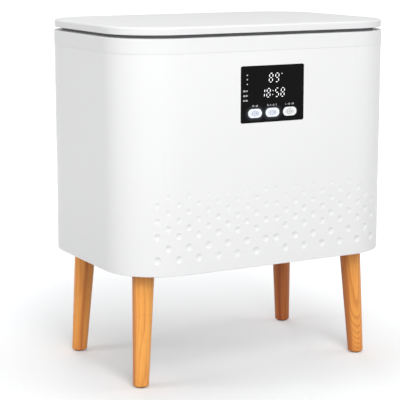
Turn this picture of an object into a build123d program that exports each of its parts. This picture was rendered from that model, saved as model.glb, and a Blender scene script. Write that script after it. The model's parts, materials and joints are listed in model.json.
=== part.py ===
"""Rectangular towel warmer bucket: a heated bucket in a moulded shell on four splayed wooden legs.

The origin is on the floor under the middle of the body. +Z is up, -Y is the front with the
control panel, and +X is to the right as seen from the front. All sizes are millimetres.
An "inset" is a distance drawn in from the rim collar's outer face, on every side of the plan.
"""
from build123d import *
from math import cos, sin
import os

os.makedirs("parts", exist_ok=True)

# Body
body_length = 430
body_width = 300
body_corner = 78
leg_height = 160
body_height = 314
shell_wall = 3
collar_step = 0.5
collar_height = 20
collar_top_thickness = 4
collar_lip_height = 12
collar_lip_thickness = 2.5
edge_round = 0.8
rim_round = 1.2
seam_round = 0.3
fit = 0.2
through = 16

# Bucket and what is wrapped round it
bucket_inset = 25
bucket_wall = 1.5
bucket_bend = 20
bucket_underroom = 38.5
flange_width = 10.5
gasket_inset = 12
gasket_width = 8
gasket_round = 1.5
heater_thickness = 1.2
heater_clear = 54.5
insulation_thickness = 8
insulation_clear = 19.5
wrap_play = 0.05

# Lid
lid_gap = 4.5
lid_edge = 10.5
lid_inset = 1
lid_wall = 2.5
lid_round = 3
lid_lower_round = 0.6
liner_thickness = 2
plug_drop = 6
plug_play = 2
seal_play = 0.3

# Hinges
hinge_spacing = 190
hinge_setback = 1.5
knuckle_radius = 4.5
leaf_knuckle_length = 17.4
bracket_knuckle_length = 10
leaf_screw_reach = 13.9
knuckle_play = 0.3
hinge_play = 0.06
pin_radius = 1.5
pin_head_radius = 2.5
pin_head_thickness = 1
leaf_thickness = 1.5
leaf_depth = 7
bracket_thickness = 2
bracket_height = 20
bracket_screw_reach = 12
bracket_screw_bite = 6.5
pocket_play = 0.5

# Control panel
window_width = 99
window_height = 76.2
window_drop = 77.85
window_corner = 2.5
window_proud = 0.2
window_play = 0.15
button_length = 21.2
button_height = 11.8
button_pitch = 27.4
button_drop = 25.5
button_proud = 0.5
button_play = 0.3
button_travel = 1
button_flange = 1
button_flange_thickness = 0.9
button_edge_round = 0.35
carrier_border = 6
carrier_ledge = 2
carrier_depth = 6
carrier_rib = 2
rib_play = 1
board_margin = 0.5
board_thickness = 1.6
panel_screw_bite = 4
digits_width = 42
digits_height = 34
digits_centre = 1.5
digits_rise = 10.85
digits_clear = 0.5
lamp_column = -42.5
lamp_rise = 26.05
lamp_pitch = 6.8
lamp_count = 6
lamp_size = 2
lamp_length = 3
switch_size = 6
switch_round = 0.75

# Dimples on the lower front
dimple_columns = 12
dimple_first_column = 8.5
dimple_column_pitch = 14.9
dimple_rows = 8
dimple_first_row = 22.3
dimple_low_pitch = 15.8
dimple_low_rows = 3
dimple_high_pitch = 10.6
dimple_large = 10.6
dimple_small = 7
dimple_deep = 1.6
dimple_shallow = 0.55

# Base, legs and fasteners
base_recess = 8
base_thickness = 4
leg_inset_x = 47
leg_inset_y = 56
leg_splay_x = 9
leg_splay_y = 8
leg_top_radius = 15.4
leg_foot_radius = 11
foot_round = 3
pad_thickness = 1.2
pad_radius = 7
leg_plate_thickness = 4
leg_plate_radius = 24
leg_plate_screw_circle = 19.5
leg_plate_screw_turns = (0.5, 2.6, 4.7)
leg_bolt_radius = 4
leg_bolt_bite = 30
leg_bolt_spare = 2
nut_across_flats = 13
nut_height = 6.5
boss_radius = 5
boss_height = 28
boss_spacing = 160
boss_merge = 1
screw_radius = 1.5
screw_head_radius = 3
screw_head_height = 1.4
screw_bite = 12
screw_play = 0.1
pilot_spare = 1
plate_screw_spare = 1.5

# Vents in the base plate, either side of the power board
vent_length = 50
vent_width = 4
vent_pitch = 9
vent_count = 7
vent_reach = 95

# Electrics in the base
power_board_length = 90
power_board_width = 60
standoff_height = 10
standoff_radius = 3.5
standoff_edge = 5
standoff_floor = 2
transformer_size = 26
transformer_height = 13
transformer_shift = 6.5
transformer_round = 2
relay_margin = 2
relay_length = 20
relay_width = 15
relay_height = 15
terminal_length = 16
terminal_width = 12
terminal_wall = 1
connector_margin = 1
header_depth = 8
header_height = 5.6
header_wall = 1
ribbon_width = 12
ribbon_thickness = 0.8
ribbon_bend = 6
ribbon_column = 30
thermostat_radius = 11
thermostat_height = 10
thermostat_ear = 17.6
ear_thickness = 1
thermostat_setback = 65
fuse_radius = 3
fuse_length = 16
fuse_clip_reach = 9
fuse_clip_width = 8
fuse_setback = 35
lead_radius = 3
lead_clear = 1.4
lead_column = 120
lead_turn_x = 90
lead_turn_y = 60
lead_bend = 18
gland_radius = 7
gland_flange_radius = 9
gland_flange_thickness = 2
gland_inside_length = 6
gland_bore_radius = 3.6

# Levels and places worked out from the sizes above
rim_level = leg_height + body_height
window_centre_height = rim_level - window_drop
button_centre_height = window_centre_height - button_drop
shell_top = rim_level - collar_height
shell_inner = collar_step + shell_wall
lip_inner = shell_inner + fit + collar_lip_thickness
bucket_outer = bucket_inset - bucket_wall
flange_inset = bucket_outer - flange_width
heater_inner = bucket_outer - wrap_play
heater_outer = heater_inner - heater_thickness
insulation_inner = heater_outer - wrap_play
insulation_outer = insulation_inner - insulation_thickness
lid_bottom = rim_level + lid_gap
lid_top = lid_bottom + lid_edge
liner_inset = lid_inset + lid_wall + fit
plug_inset = bucket_inset + plug_play
plug_bottom = lid_bottom - plug_drop
hinge_y = body_width / 2 + hinge_setback
hinge_level = rim_level + lid_gap / 2
hinge_half = leaf_knuckle_length / 2 + knuckle_play + bracket_knuckle_length
pocket_half = hinge_half + pin_head_thickness + pocket_play
pocket_front = hinge_y - knuckle_radius - pocket_play
pocket_bottom = hinge_level - knuckle_radius - pocket_play
pocket_top = hinge_level + knuckle_radius + pocket_play
bracket_screw_level = pocket_bottom - bracket_height / 2
base_bottom = leg_height + base_recess
base_top = base_bottom + base_thickness
bucket_bottom = base_top + bucket_underroom
wrap_bottom = bucket_bottom + bucket_bend
ledge_bottom = rim_level - collar_top_thickness
heater_height = ledge_bottom - heater_clear - wrap_bottom
insulation_height = ledge_bottom - insulation_clear - wrap_bottom
leg_top = base_bottom - leg_plate_thickness
leg_top_x = body_length / 2 - leg_inset_x
leg_top_y = body_width / 2 - leg_inset_y
shell_front = body_width / 2 - collar_step
shell_inside = body_width / 2 - shell_inner
window_front = shell_front + window_proud
carrier_rear = shell_inside - carrier_depth
board_rear = carrier_rear - board_thickness
flange_front = shell_inside - button_play
switch_front = flange_front - button_flange_thickness - button_travel - button_play
standoff_top = base_top + standoff_height
power_board_top = standoff_top + board_thickness
lead_height = power_board_top + lead_clear + lead_radius
lid_screw_inset = (liner_inset + gasket_inset) / 2
corners = {
    "front_left": (-1, -1),
    "front_right": (1, -1),
    "rear_left": (-1, 1),
    "rear_right": (1, 1),
}
sides = {"left": -1, "right": 1}
buttons = {"timer_button": -1, "power_button": 0, "delay_button": 1}
boss_reach = body_length / 2 - shell_inner - boss_radius + boss_merge
base_screw_places = [
    (across * boss_spacing / 2, along * (shell_inside - boss_radius + boss_merge))
    for across in (-1, 1)
    for along in (-1, 1)
] + [(across * boss_reach, 0) for across in (-1, 1)]
lid_screw_places = [
    (across * hinge_spacing / 2, lid_screw_inset - body_width / 2) for across in (-1, 0, 1)
] + [(across * (body_length / 2 - lid_screw_inset), 0) for across in (-1, 1)]


def save(piece, name):
    """Label a finished piece and write its STEP file."""
    piece.part.label = name
    export_step(piece.part, f"parts/{name}.step")


def plan(level, outer, inner=None):
    """The body's rounded plan at a level, drawn in by one inset and hollow inside another."""
    with BuildSketch(Plane.XY.offset(level)) as drawing:
        RectangleRounded(body_length - 2 * outer, body_width - 2 * outer, body_corner - outer)
        if inner is not None:
            RectangleRounded(
                body_length - 2 * inner,
                body_width - 2 * inner,
                body_corner - inner,
                mode=Mode.SUBTRACT,
            )
    return drawing.sketch


def upright(radius, bottom, top, places, mode=Mode.ADD):
    """Vertical cylinders from one level to another at each place."""
    with Locations(*[(x, y, bottom) for x, y in places]):
        Cylinder(radius, top - bottom, align=(Align.CENTER, Align.CENTER, Align.MIN), mode=mode)


def block(x_span, y_span, z_span, mode=Mode.ADD):
    """A box given by its low and high limits along each axis."""
    lows = [min(span) for span in (x_span, y_span, z_span)]
    sizes = [max(span) - min(span) for span in (x_span, y_span, z_span)]
    with Locations(tuple(lows)):
        Box(*sizes, align=(Align.MIN, Align.MIN, Align.MIN), mode=mode)


def dimple_place(run):
    """Point and outward direction on the shell's front, a run from its middle, round the corner."""
    side = 1 if run > 0 else -1
    radius = body_corner - collar_step
    straight = body_length / 2 - body_corner
    turn = max(0, abs(run) - straight) / radius
    out = (side * sin(turn), -cos(turn))
    middle_x = side * min(abs(run), straight)
    middle_y = body_corner - body_width / 2
    return (middle_x + out[0] * radius, middle_y + out[1] * radius), out


# Outer shell: a straight-walled tube with dimples low on its front
with BuildPart() as outer_shell:
    extrude(plan(leg_height, collar_step, shell_inner), amount=shell_top - leg_height)
    fillet(outer_shell.faces().sort_by(Axis.Z)[0].outer_wire().edges(), radius=edge_round)
    upright(boss_radius, base_top, base_top + boss_height, base_screw_places)
    pilot_top = base_top + screw_bite + pilot_spare
    upright(screw_radius, base_top, pilot_top, base_screw_places, Mode.SUBTRACT)
    with BuildSketch(Plane.XZ.offset(shell_front)):
        with Locations((0, window_centre_height)):
            RectangleRounded(
                window_width + 2 * window_play,
                window_height + 2 * window_play,
                window_corner + window_play,
            )
    extrude(amount=-shell_wall, mode=Mode.SUBTRACT)
    with Locations(Plane((lead_column, shell_inside, lead_height), z_dir=(0, 1, 0))):
        Cylinder(gland_radius + fit, through, mode=Mode.SUBTRACT)
    for column in range(dimple_columns):
        for row in range(dimple_rows):
            if row % 2 == column % 2:
                continue
            share = row / (dimple_rows - 1)
            half = (dimple_large + share * (dimple_small - dimple_large)) / 2
            depth = dimple_deep + share * (dimple_shallow - dimple_deep)
            ball = (half**2 + depth**2) / (2 * depth)
            low_steps = min(row, dimple_low_rows - 1)
            high_steps = row - low_steps
            level = leg_height + dimple_first_row
            level += low_steps * dimple_low_pitch + high_steps * dimple_high_pitch
            for side in sides.values():
                run = side * (dimple_first_column + column * dimple_column_pitch)
                spot, out = dimple_place(run)
                lift = ball - depth
                with Locations((spot[0] + out[0] * lift, spot[1] + out[1] * lift, level)):
                    Sphere(ball, mode=Mode.SUBTRACT)
save(outer_shell, "outer_shell")

# Rim collar: a band that stands a little proud of the shell, with a ledge for the bucket
with BuildPart() as rim_collar:
    extrude(plan(shell_top, 0, lip_inner), amount=collar_height)
    extrude(plan(ledge_bottom, 0, bucket_outer - seal_play), amount=collar_top_thickness)
    extrude(
        plan(shell_top - collar_lip_height, shell_inner + fit, lip_inner), amount=collar_lip_height
    )
    extrude(
        plan(rim_level - bucket_wall, flange_inset - fit), amount=bucket_wall, mode=Mode.SUBTRACT
    )
    fillet(rim_collar.faces().sort_by(Axis.Z)[-1].outer_wire().edges(), radius=rim_round)
    seam_face = rim_collar.faces().filter_by(GeomType.PLANE).filter_by(
        lambda face: abs(face.center().Z - shell_top) < fit and face.normal_at().Z < 0
    )[0]
    fillet(seam_face.outer_wire().edges(), radius=seam_round)
    for side in sides.values():
        middle = side * hinge_spacing / 2
        block(
            (middle - pocket_half, middle + pocket_half),
            (pocket_front, body_width),
            (pocket_bottom, rim_level),
            Mode.SUBTRACT,
        )
        for across in (-1, 1):
            place = (middle + across * bracket_screw_reach, body_width / 2)
            with Locations(Plane((*place, bracket_screw_level), z_dir=(0, 1, 0))):
                pilot_depth = bracket_screw_bite + pilot_spare
                Cylinder(screw_radius, 2 * pilot_depth, mode=Mode.SUBTRACT)
save(rim_collar, "rim_collar")

# Inner bucket: a drawn pan with a flange that hangs in the collar's ledge
with BuildPart() as inner_bucket:
    extrude(plan(bucket_bottom, bucket_outer), amount=rim_level - bucket_bottom)
    fillet(inner_bucket.faces().sort_by(Axis.Z)[0].edges(), radius=bucket_bend)
    offset(amount=-bucket_wall, openings=inner_bucket.faces().sort_by(Axis.Z)[-1])
    extrude(plan(rim_level - bucket_wall, flange_inset, bucket_inset), amount=bucket_wall)
save(inner_bucket, "inner_bucket")

# Rim gasket: a soft ring that lies over the flange's joint with the collar
with BuildPart() as rim_gasket:
    extrude(
        plan(rim_level, gasket_inset, gasket_inset + gasket_width), amount=lid_gap - seal_play
    )
    fillet(rim_gasket.faces().sort_by(Axis.Z)[-1].edges(), radius=gasket_round)
save(rim_gasket, "rim_gasket")

# Heater and insulation: sleeves round the bucket, clear of its bottom bend
with BuildPart() as heater_wrap:
    extrude(plan(wrap_bottom, heater_outer, heater_inner), amount=heater_height)
save(heater_wrap, "heater_wrap")

with BuildPart() as insulation_wrap:
    extrude(plan(wrap_bottom, insulation_outer, insulation_inner), amount=insulation_height)
save(insulation_wrap, "insulation_wrap")

# Lid cover: a shallow cap with bosses for the screws that hold the liner and the hinges
hinge_screw_places = [
    (side * hinge_spacing / 2 + across * leaf_screw_reach, pocket_front - leaf_depth / 2)
    for side in (-1, 1)
    for across in (-1, 1)
]
with BuildPart() as lid_cover:
    extrude(plan(lid_bottom, lid_inset), amount=lid_edge)
    fillet(lid_cover.faces().sort_by(Axis.Z)[-1].edges(), radius=lid_round)
    fillet(lid_cover.faces().sort_by(Axis.Z)[0].edges(), radius=lid_lower_round)
    extrude(
        plan(lid_bottom, lid_inset + lid_wall), amount=lid_edge - lid_wall, mode=Mode.SUBTRACT
    )
    lid_bosses = lid_screw_places + hinge_screw_places
    upright(screw_head_radius, lid_bottom + liner_thickness, lid_top - lid_wall, lid_bosses)
    upright(screw_radius, lid_bottom, lid_top - lid_wall, lid_bosses, Mode.SUBTRACT)
    for side in sides.values():
        middle = side * hinge_spacing / 2
        block(
            (middle - pocket_half, middle + pocket_half),
            (pocket_front, body_width),
            (lid_bottom, pocket_top),
            Mode.SUBTRACT,
        )
save(lid_cover, "lid_cover")

# Lid liner: a plate with a shallow pan that drops into the bucket's mouth
with BuildPart() as lid_liner:
    extrude(plan(lid_bottom, liner_inset), amount=liner_thickness)
    extrude(plan(plug_bottom, plug_inset), amount=plug_drop)
    fillet(lid_liner.faces().sort_by(Axis.Z)[0].edges(), radius=liner_thickness)
    extrude(
        plan(plug_bottom + liner_thickness, plug_inset + liner_thickness),
        amount=plug_drop,
        mode=Mode.SUBTRACT,
    )
    upright(
        screw_radius + screw_play,
        lid_bottom,
        lid_bottom + liner_thickness,
        lid_screw_places + hinge_screw_places,
        Mode.SUBTRACT,
    )
    with Locations(*[(x, y, lid_bottom) for x, y in lid_screw_places]):
        Cone(
            screw_head_radius + screw_play,
            screw_radius + screw_play,
            screw_head_height,
            align=(Align.CENTER, Align.CENTER, Align.MIN),
            mode=Mode.SUBTRACT,
        )
save(lid_liner, "lid_liner")

# Lid insulation: a foam slab that fills the liner's pan up to the cover
with BuildPart() as lid_insulation:
    foam_bottom = plug_bottom + liner_thickness
    extrude(
        plan(foam_bottom, plug_inset + liner_thickness + fit),
        amount=lid_top - lid_wall - foam_bottom,
    )
save(lid_insulation, "lid_insulation")

# Lid screws: countersunk, from the liner into the cover's bosses
with BuildPart() as lid_screws:
    with Locations(*[(x, y, lid_bottom) for x, y in lid_screw_places]):
        Cone(
            screw_head_radius,
            screw_radius,
            screw_head_height,
            align=(Align.CENTER, Align.CENTER, Align.MIN),
        )
    upright(screw_radius, lid_bottom, lid_top - lid_wall - pilot_spare, lid_screw_places)
save(lid_screws, "lid_screws")

# Hinges: a leaf under the lid, a bracket on the collar and a headed pin, twice
for side_name, side in sides.items():
    middle = side * hinge_spacing / 2
    hinge_line = Plane((middle, hinge_y, hinge_level), z_dir=(1, 0, 0))
    leaf_half = leaf_knuckle_length / 2
    plate_bottom = lid_bottom - leaf_thickness
    with BuildPart() as hinge_leaf:
        with Locations(hinge_line):
            Cylinder(knuckle_radius, leaf_knuckle_length)
        block(
            (middle - leaf_half, middle + leaf_half),
            (pocket_front, hinge_y),
            (plate_bottom, lid_bottom),
        )
        block(
            (middle - hinge_half, middle + hinge_half),
            (pocket_front - leaf_depth, pocket_front),
            (plate_bottom, lid_bottom),
        )
        with Locations(hinge_line):
            Cylinder(pin_radius + hinge_play, leaf_knuckle_length, mode=Mode.SUBTRACT)
        own_screws = [place for place in hinge_screw_places if place[0] * side > 0]
        upright(screw_radius + screw_play, plate_bottom, lid_bottom, own_screws, Mode.SUBTRACT)
    save(hinge_leaf, f"hinge_leaf_{side_name}")

    bracket_bottom = pocket_bottom - bracket_height + knuckle_radius
    bracket_rear = body_width / 2 + bracket_thickness
    with BuildPart() as hinge_bracket:
        for across in (-1, 1):
            knuckle_x = middle + across * (hinge_half - bracket_knuckle_length / 2)
            with Locations(Plane((knuckle_x, hinge_y, hinge_level), z_dir=(1, 0, 0))):
                Cylinder(knuckle_radius, bracket_knuckle_length)
            block(
                (knuckle_x - bracket_knuckle_length / 2, knuckle_x + bracket_knuckle_length / 2),
                (body_width / 2, bracket_rear),
                (pocket_bottom, hinge_level),
            )
        block(
            (middle - hinge_half, middle + hinge_half),
            (body_width / 2, bracket_rear),
            (bracket_bottom, pocket_bottom),
        )
        with Locations(hinge_line):
            Cylinder(pin_radius + wrap_play, 2 * hinge_half, mode=Mode.SUBTRACT)
        for across in (-1, 1):
            place = (middle + across * bracket_screw_reach, bracket_rear)
            with Locations(Plane((*place, bracket_screw_level), z_dir=(0, 1, 0))):
                Cylinder(screw_radius + screw_play, through, mode=Mode.SUBTRACT)
    save(hinge_bracket, f"hinge_bracket_{side_name}")

    with BuildPart() as hinge_pin:
        with Locations(hinge_line):
            Cylinder(pin_radius, 2 * hinge_half)
        for across in (-1, 1):
            head_x = middle + across * (hinge_half + pin_head_thickness / 2)
            with Locations(Plane((head_x, hinge_y, hinge_level), z_dir=(1, 0, 0))):
                Cylinder(pin_head_radius, pin_head_thickness)
    save(hinge_pin, f"hinge_pin_{side_name}")

# Leaf screws: from under each leaf, through the liner, into the cover's bosses
with BuildPart() as leaf_screws:
    leaf_bottom = lid_bottom - leaf_thickness
    upright(screw_head_radius, leaf_bottom - screw_head_height, leaf_bottom, hinge_screw_places)
    upright(screw_radius, leaf_bottom, lid_top - lid_wall - pilot_spare, hinge_screw_places)
save(leaf_screws, "leaf_screws")

# Bracket screws: from behind each bracket into the collar
with BuildPart() as bracket_screws:
    for side in sides.values():
        for across in (-1, 1):
            place_x = side * hinge_spacing / 2 + across * bracket_screw_reach
            rear = body_width / 2 + bracket_thickness
            with Locations(Plane((place_x, rear, bracket_screw_level), z_dir=(0, 1, 0))):
                Cylinder(
                    screw_head_radius,
                    screw_head_height,
                    align=(Align.CENTER, Align.CENTER, Align.MIN),
                )
            with Locations(Plane((place_x, rear, bracket_screw_level), z_dir=(0, -1, 0))):
                Cylinder(
                    screw_radius,
                    bracket_thickness + bracket_screw_bite,
                    align=(Align.CENTER, Align.CENTER, Align.MIN),
                )
save(bracket_screws, "bracket_screws")

# Display window: a dark plate set in the shell, with a hole for each button
window_plane = Plane.XZ.offset(window_front)
with BuildPart() as display_window:
    with BuildSketch(window_plane):
        with Locations((0, window_centre_height)):
            RectangleRounded(window_width, window_height, window_corner)
        with Locations(*[(spot * button_pitch, button_centre_height) for spot in (-1, 0, 1)]):
            SlotOverall(
                button_length + 2 * button_play,
                button_height + 2 * button_play,
                mode=Mode.SUBTRACT,
            )
    extrude(amount=shell_inside - window_front)
save(display_window, "display_window")

# Buttons: lozenge caps, each kept in by a flange behind the window
for name, spot in buttons.items():
    with BuildPart() as button:
        with BuildSketch(Plane.XZ.offset(window_front + button_proud)):
            with Locations((spot * button_pitch, button_centre_height)):
                SlotOverall(button_length, button_height)
        extrude(amount=flange_front - window_front - button_proud)
        fillet(button.faces().sort_by(Axis.Y)[0].edges(), radius=button_edge_round)
        with BuildSketch(Plane.XZ.offset(flange_front)):
            with Locations((spot * button_pitch, button_centre_height)):
                SlotOverall(button_length + 2 * button_flange, button_height + 2 * button_flange)
        extrude(amount=-button_flange_thickness)
    save(button, name)

# Panel carrier: a frame behind the shell's opening that holds the window and the board
carrier_length = window_width + 2 * carrier_border
carrier_width = window_height + 2 * carrier_border
rib_level = button_centre_height + button_height / 2 + button_flange + rib_play
panel_screw_spacing_x = carrier_length - carrier_border
panel_screw_spacing_z = carrier_width - carrier_border
with BuildPart() as panel_carrier:
    with BuildSketch(Plane.XZ.offset(shell_inside)):
        with Locations((0, window_centre_height)):
            Rectangle(carrier_length, carrier_width)
            Rectangle(
                window_width - 2 * carrier_ledge,
                window_height - 2 * carrier_ledge,
                mode=Mode.SUBTRACT,
            )
        with Locations((0, rib_level + carrier_rib / 2)):
            Rectangle(window_width, carrier_rib)
    extrude(amount=-carrier_depth)
    with BuildSketch(Plane.XZ.offset(carrier_rear)):
        with Locations((0, window_centre_height)):
            with GridLocations(panel_screw_spacing_x, panel_screw_spacing_z, 2, 2):
                Circle(screw_radius)
    extrude(amount=panel_screw_bite + pilot_spare, mode=Mode.SUBTRACT)
save(panel_carrier, "panel_carrier")

# Display board: on the carrier's rear, with the digits, lamps and switches on its front
with BuildPart() as display_board:
    with BuildSketch(Plane.XZ.offset(carrier_rear)):
        with Locations((0, window_centre_height)):
            Rectangle(carrier_length - 2 * board_margin, carrier_width - 2 * board_margin)
            with GridLocations(panel_screw_spacing_x, panel_screw_spacing_z, 2, 2):
                Circle(screw_radius + screw_play, mode=Mode.SUBTRACT)
    extrude(amount=-board_thickness)
save(display_board, "display_board")

with BuildPart() as panel_screws:
    with BuildSketch(Plane.XZ.offset(board_rear)):
        with Locations((0, window_centre_height)):
            with GridLocations(panel_screw_spacing_x, panel_screw_spacing_z, 2, 2):
                Circle(screw_radius)
    extrude(amount=board_thickness + panel_screw_bite)
    with BuildSketch(Plane.XZ.offset(board_rear)):
        with Locations((0, window_centre_height)):
            with GridLocations(panel_screw_spacing_x, panel_screw_spacing_z, 2, 2):
                Circle(screw_head_radius)
    extrude(amount=-screw_head_height)
save(panel_screws, "panel_screws")

with BuildPart() as digit_module:
    with BuildSketch(Plane.XZ.offset(carrier_rear)):
        with Locations((digits_centre, window_centre_height + digits_rise)):
            RectangleRounded(digits_width, digits_height, window_corner)
    extrude(amount=carrier_depth - digits_clear)
save(digit_module, "digit_module")

with BuildPart() as indicator_lamps:
    with BuildSketch(Plane.XZ.offset(carrier_rear)):
        for lamp in range(lamp_count):
            lamp_level = window_centre_height + lamp_rise - lamp * lamp_pitch
            with Locations((lamp_column, lamp_level)):
                Rectangle(lamp_length, lamp_size)
    extrude(amount=carrier_depth - digits_clear)
save(indicator_lamps, "indicator_lamps")

with BuildPart() as tact_switches:
    with BuildSketch(Plane.XZ.offset(carrier_rear)):
        with Locations(*[(spot * button_pitch, button_centre_height) for spot in (-1, 0, 1)]):
            RectangleRounded(switch_size, switch_size, switch_round)
    extrude(amount=switch_front - carrier_rear)
save(tact_switches, "tact_switches")

# Base plate: closes the shell from below, with standoffs for the power board
standoff_x = power_board_length / 2 - standoff_edge
standoff_y = power_board_width / 2 - standoff_edge
standoff_places = [
    (across * standoff_x, along * standoff_y) for across in (-1, 1) for along in (-1, 1)
]
leg_top_places = [(x * leg_top_x, y * leg_top_y) for x, y in corners.values()]
plate_screw_places = [
    (leg_x + leg_plate_screw_circle * cos(turn), leg_y + leg_plate_screw_circle * sin(turn))
    for leg_x, leg_y in leg_top_places
    for turn in leg_plate_screw_turns
]
with BuildPart() as base_plate:
    extrude(plan(base_bottom, shell_inner + fit), amount=base_thickness)
    upright(standoff_radius, base_top, standoff_top, standoff_places)
    pilot_bottom = base_top + standoff_floor
    upright(screw_radius, pilot_bottom, standoff_top, standoff_places, Mode.SUBTRACT)
    upright(screw_radius + screw_play, base_bottom, base_top, base_screw_places, Mode.SUBTRACT)
    upright(leg_bolt_radius + fit, base_bottom, base_top, leg_top_places, Mode.SUBTRACT)
    plate_pilot_top = base_top - pilot_spare
    upright(screw_radius, base_bottom, plate_pilot_top, plate_screw_places, Mode.SUBTRACT)
    with BuildSketch(Plane.XY.offset(base_bottom)):
        with GridLocations(2 * vent_reach, vent_pitch, 2, vent_count):
            SlotOverall(vent_length, vent_width)
    extrude(amount=base_thickness, mode=Mode.SUBTRACT)
save(base_plate, "base_plate")

with BuildPart() as base_screws:
    head_bottom = base_bottom - screw_head_height
    upright(screw_head_radius, head_bottom, base_bottom, base_screw_places)
    upright(screw_radius, base_bottom, base_top + screw_bite, base_screw_places)
save(base_screws, "base_screws")

# Legs: tapered and splayed, each on its own plate, bolt, nut and pad
for corner_name, (x_sign, y_sign) in corners.items():
    top_place = (x_sign * leg_top_x, y_sign * leg_top_y)
    foot_place = (x_sign * (leg_top_x + leg_splay_x), y_sign * (leg_top_y + leg_splay_y))
    with BuildPart() as leg:
        with BuildSketch(Plane.XY.offset(pad_thickness)):
            with Locations(foot_place):
                Circle(leg_foot_radius)
        with BuildSketch(Plane.XY.offset(leg_top)):
            with Locations(top_place):
                Circle(leg_top_radius)
        loft()
        fillet(leg.edges().group_by(Axis.Z)[0], radius=foot_round)
        bolt_hole_bottom = leg_top - leg_bolt_bite - pilot_spare
        upright(leg_bolt_radius, bolt_hole_bottom, leg_top, [top_place], Mode.SUBTRACT)
    save(leg, f"leg_{corner_name}")

    with BuildPart() as leg_plate:
        upright(leg_plate_radius, leg_top, base_bottom, [top_place])
        upright(leg_bolt_radius + fit, leg_top, base_bottom, [top_place], Mode.SUBTRACT)
        own_screws = [
            place
            for place in plate_screw_places
            if place[0] * x_sign > 0 and place[1] * y_sign > 0
        ]
        upright(screw_radius + screw_play, leg_top, base_bottom, own_screws, Mode.SUBTRACT)
    save(leg_plate, f"leg_plate_{corner_name}")

    with BuildPart() as foot_pad:
        upright(pad_radius, 0, pad_thickness, [foot_place])
    save(foot_pad, f"foot_pad_{corner_name}")

with BuildPart() as leg_bolts:
    bolt_top = base_top + nut_height + leg_bolt_spare
    upright(leg_bolt_radius, leg_top - leg_bolt_bite, bolt_top, leg_top_places)
save(leg_bolts, "leg_bolts")

with BuildPart() as leg_nuts:
    with BuildSketch(Plane.XY.offset(base_top)):
        with Locations(*leg_top_places):
            RegularPolygon(nut_across_flats / 2, 6, major_radius=False)
            Circle(leg_bolt_radius, mode=Mode.SUBTRACT)
    extrude(amount=nut_height)
save(leg_nuts, "leg_nuts")

with BuildPart() as leg_plate_screws:
    upright(screw_head_radius, leg_top - screw_head_height, leg_top, plate_screw_places)
    upright(screw_radius, leg_top, base_top - plate_screw_spare, plate_screw_places)
save(leg_plate_screws, "leg_plate_screws")

# Power board and what is soldered to it
with BuildPart() as power_board:
    with BuildSketch(Plane.XY.offset(standoff_top)):
        Rectangle(power_board_length, power_board_width)
        with Locations(*standoff_places):
            Circle(screw_radius + screw_play, mode=Mode.SUBTRACT)
    extrude(amount=board_thickness)
save(power_board, "power_board")

with BuildPart() as power_board_screws:
    screw_end = base_top + standoff_floor + pilot_spare
    upright(screw_radius, screw_end, power_board_top, standoff_places)
    screw_top = power_board_top + screw_head_height
    upright(screw_head_radius, power_board_top, screw_top, standoff_places)
save(power_board_screws, "power_board_screws")

with BuildPart() as power_transformer:
    block(
        (-transformer_size / 2 - transformer_shift, transformer_size / 2 - transformer_shift),
        (-transformer_size / 2, transformer_size / 2),
        (power_board_top, power_board_top + transformer_height),
    )
    fillet(power_transformer.edges().filter_by(Axis.Z), radius=transformer_round)
save(power_transformer, "power_transformer")

relay_left = relay_margin - power_board_length / 2
with BuildPart() as power_relay:
    block(
        (relay_left, relay_left + relay_width),
        (-relay_length / 2, relay_length / 2),
        (power_board_top, power_board_top + relay_height),
    )
save(power_relay, "power_relay")

terminal_right = power_board_length / 2 - connector_margin
terminal_top = lead_height + lead_radius + terminal_wall
with BuildPart() as board_connectors:
    block(
        (terminal_right - terminal_width, terminal_right),
        (-terminal_length / 2, terminal_length / 2),
        (power_board_top, terminal_top),
    )
    header_half = ribbon_width / 2 + header_wall
    header_front = connector_margin - power_board_width / 2
    block(
        (ribbon_column - header_half, ribbon_column + header_half),
        (header_front, header_front + header_depth),
        (power_board_top, power_board_top + header_height),
    )
save(board_connectors, "board_connectors")

# Ribbon: from the display board's rear down the front wall and across to the power board
ribbon_level = power_board_top + header_height
ribbon_end = -power_board_width / 2 + header_depth
ribbon_start = window_centre_height - window_height / 2
with BuildPart() as panel_ribbon:
    with BuildSketch(Plane.YZ.offset(ribbon_column - ribbon_width / 2)) as ribbon_side:
        with BuildLine():
            Polyline(
                (-board_rear, ribbon_start),
                (-board_rear, ribbon_level),
                (ribbon_end, ribbon_level),
                (ribbon_end, ribbon_level + ribbon_thickness),
                (-board_rear + ribbon_thickness, ribbon_level + ribbon_thickness),
                (-board_rear + ribbon_thickness, ribbon_start),
                close=True,
            )
        make_face()
        outer_corner = (-board_rear, ribbon_level)
        fillet(ribbon_side.vertices().sort_by_distance(outer_corner)[0], radius=ribbon_bend)
        inner_corner = (-board_rear + ribbon_thickness, ribbon_level + ribbon_thickness)
        inner_bend = ribbon_bend - ribbon_thickness
        fillet(ribbon_side.vertices().sort_by_distance(inner_corner)[0], radius=inner_bend)
    extrude(amount=ribbon_width)
save(panel_ribbon, "panel_ribbon")

# Thermostat and thermal fuse: held against the bucket's floor
bucket_rear = body_width / 2 - bucket_inset
thermostat_y = bucket_rear - thermostat_setback
fuse_y = bucket_rear - fuse_setback
with BuildPart() as thermostat:
    upright(thermostat_radius, bucket_bottom - thermostat_height, bucket_bottom, [(0, thermostat_y)])
    block(
        (-thermostat_ear, thermostat_ear),
        (thermostat_y - thermostat_radius / 2, thermostat_y + thermostat_radius / 2),
        (bucket_bottom - ear_thickness, bucket_bottom),
    )
save(thermostat, "thermostat")

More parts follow.
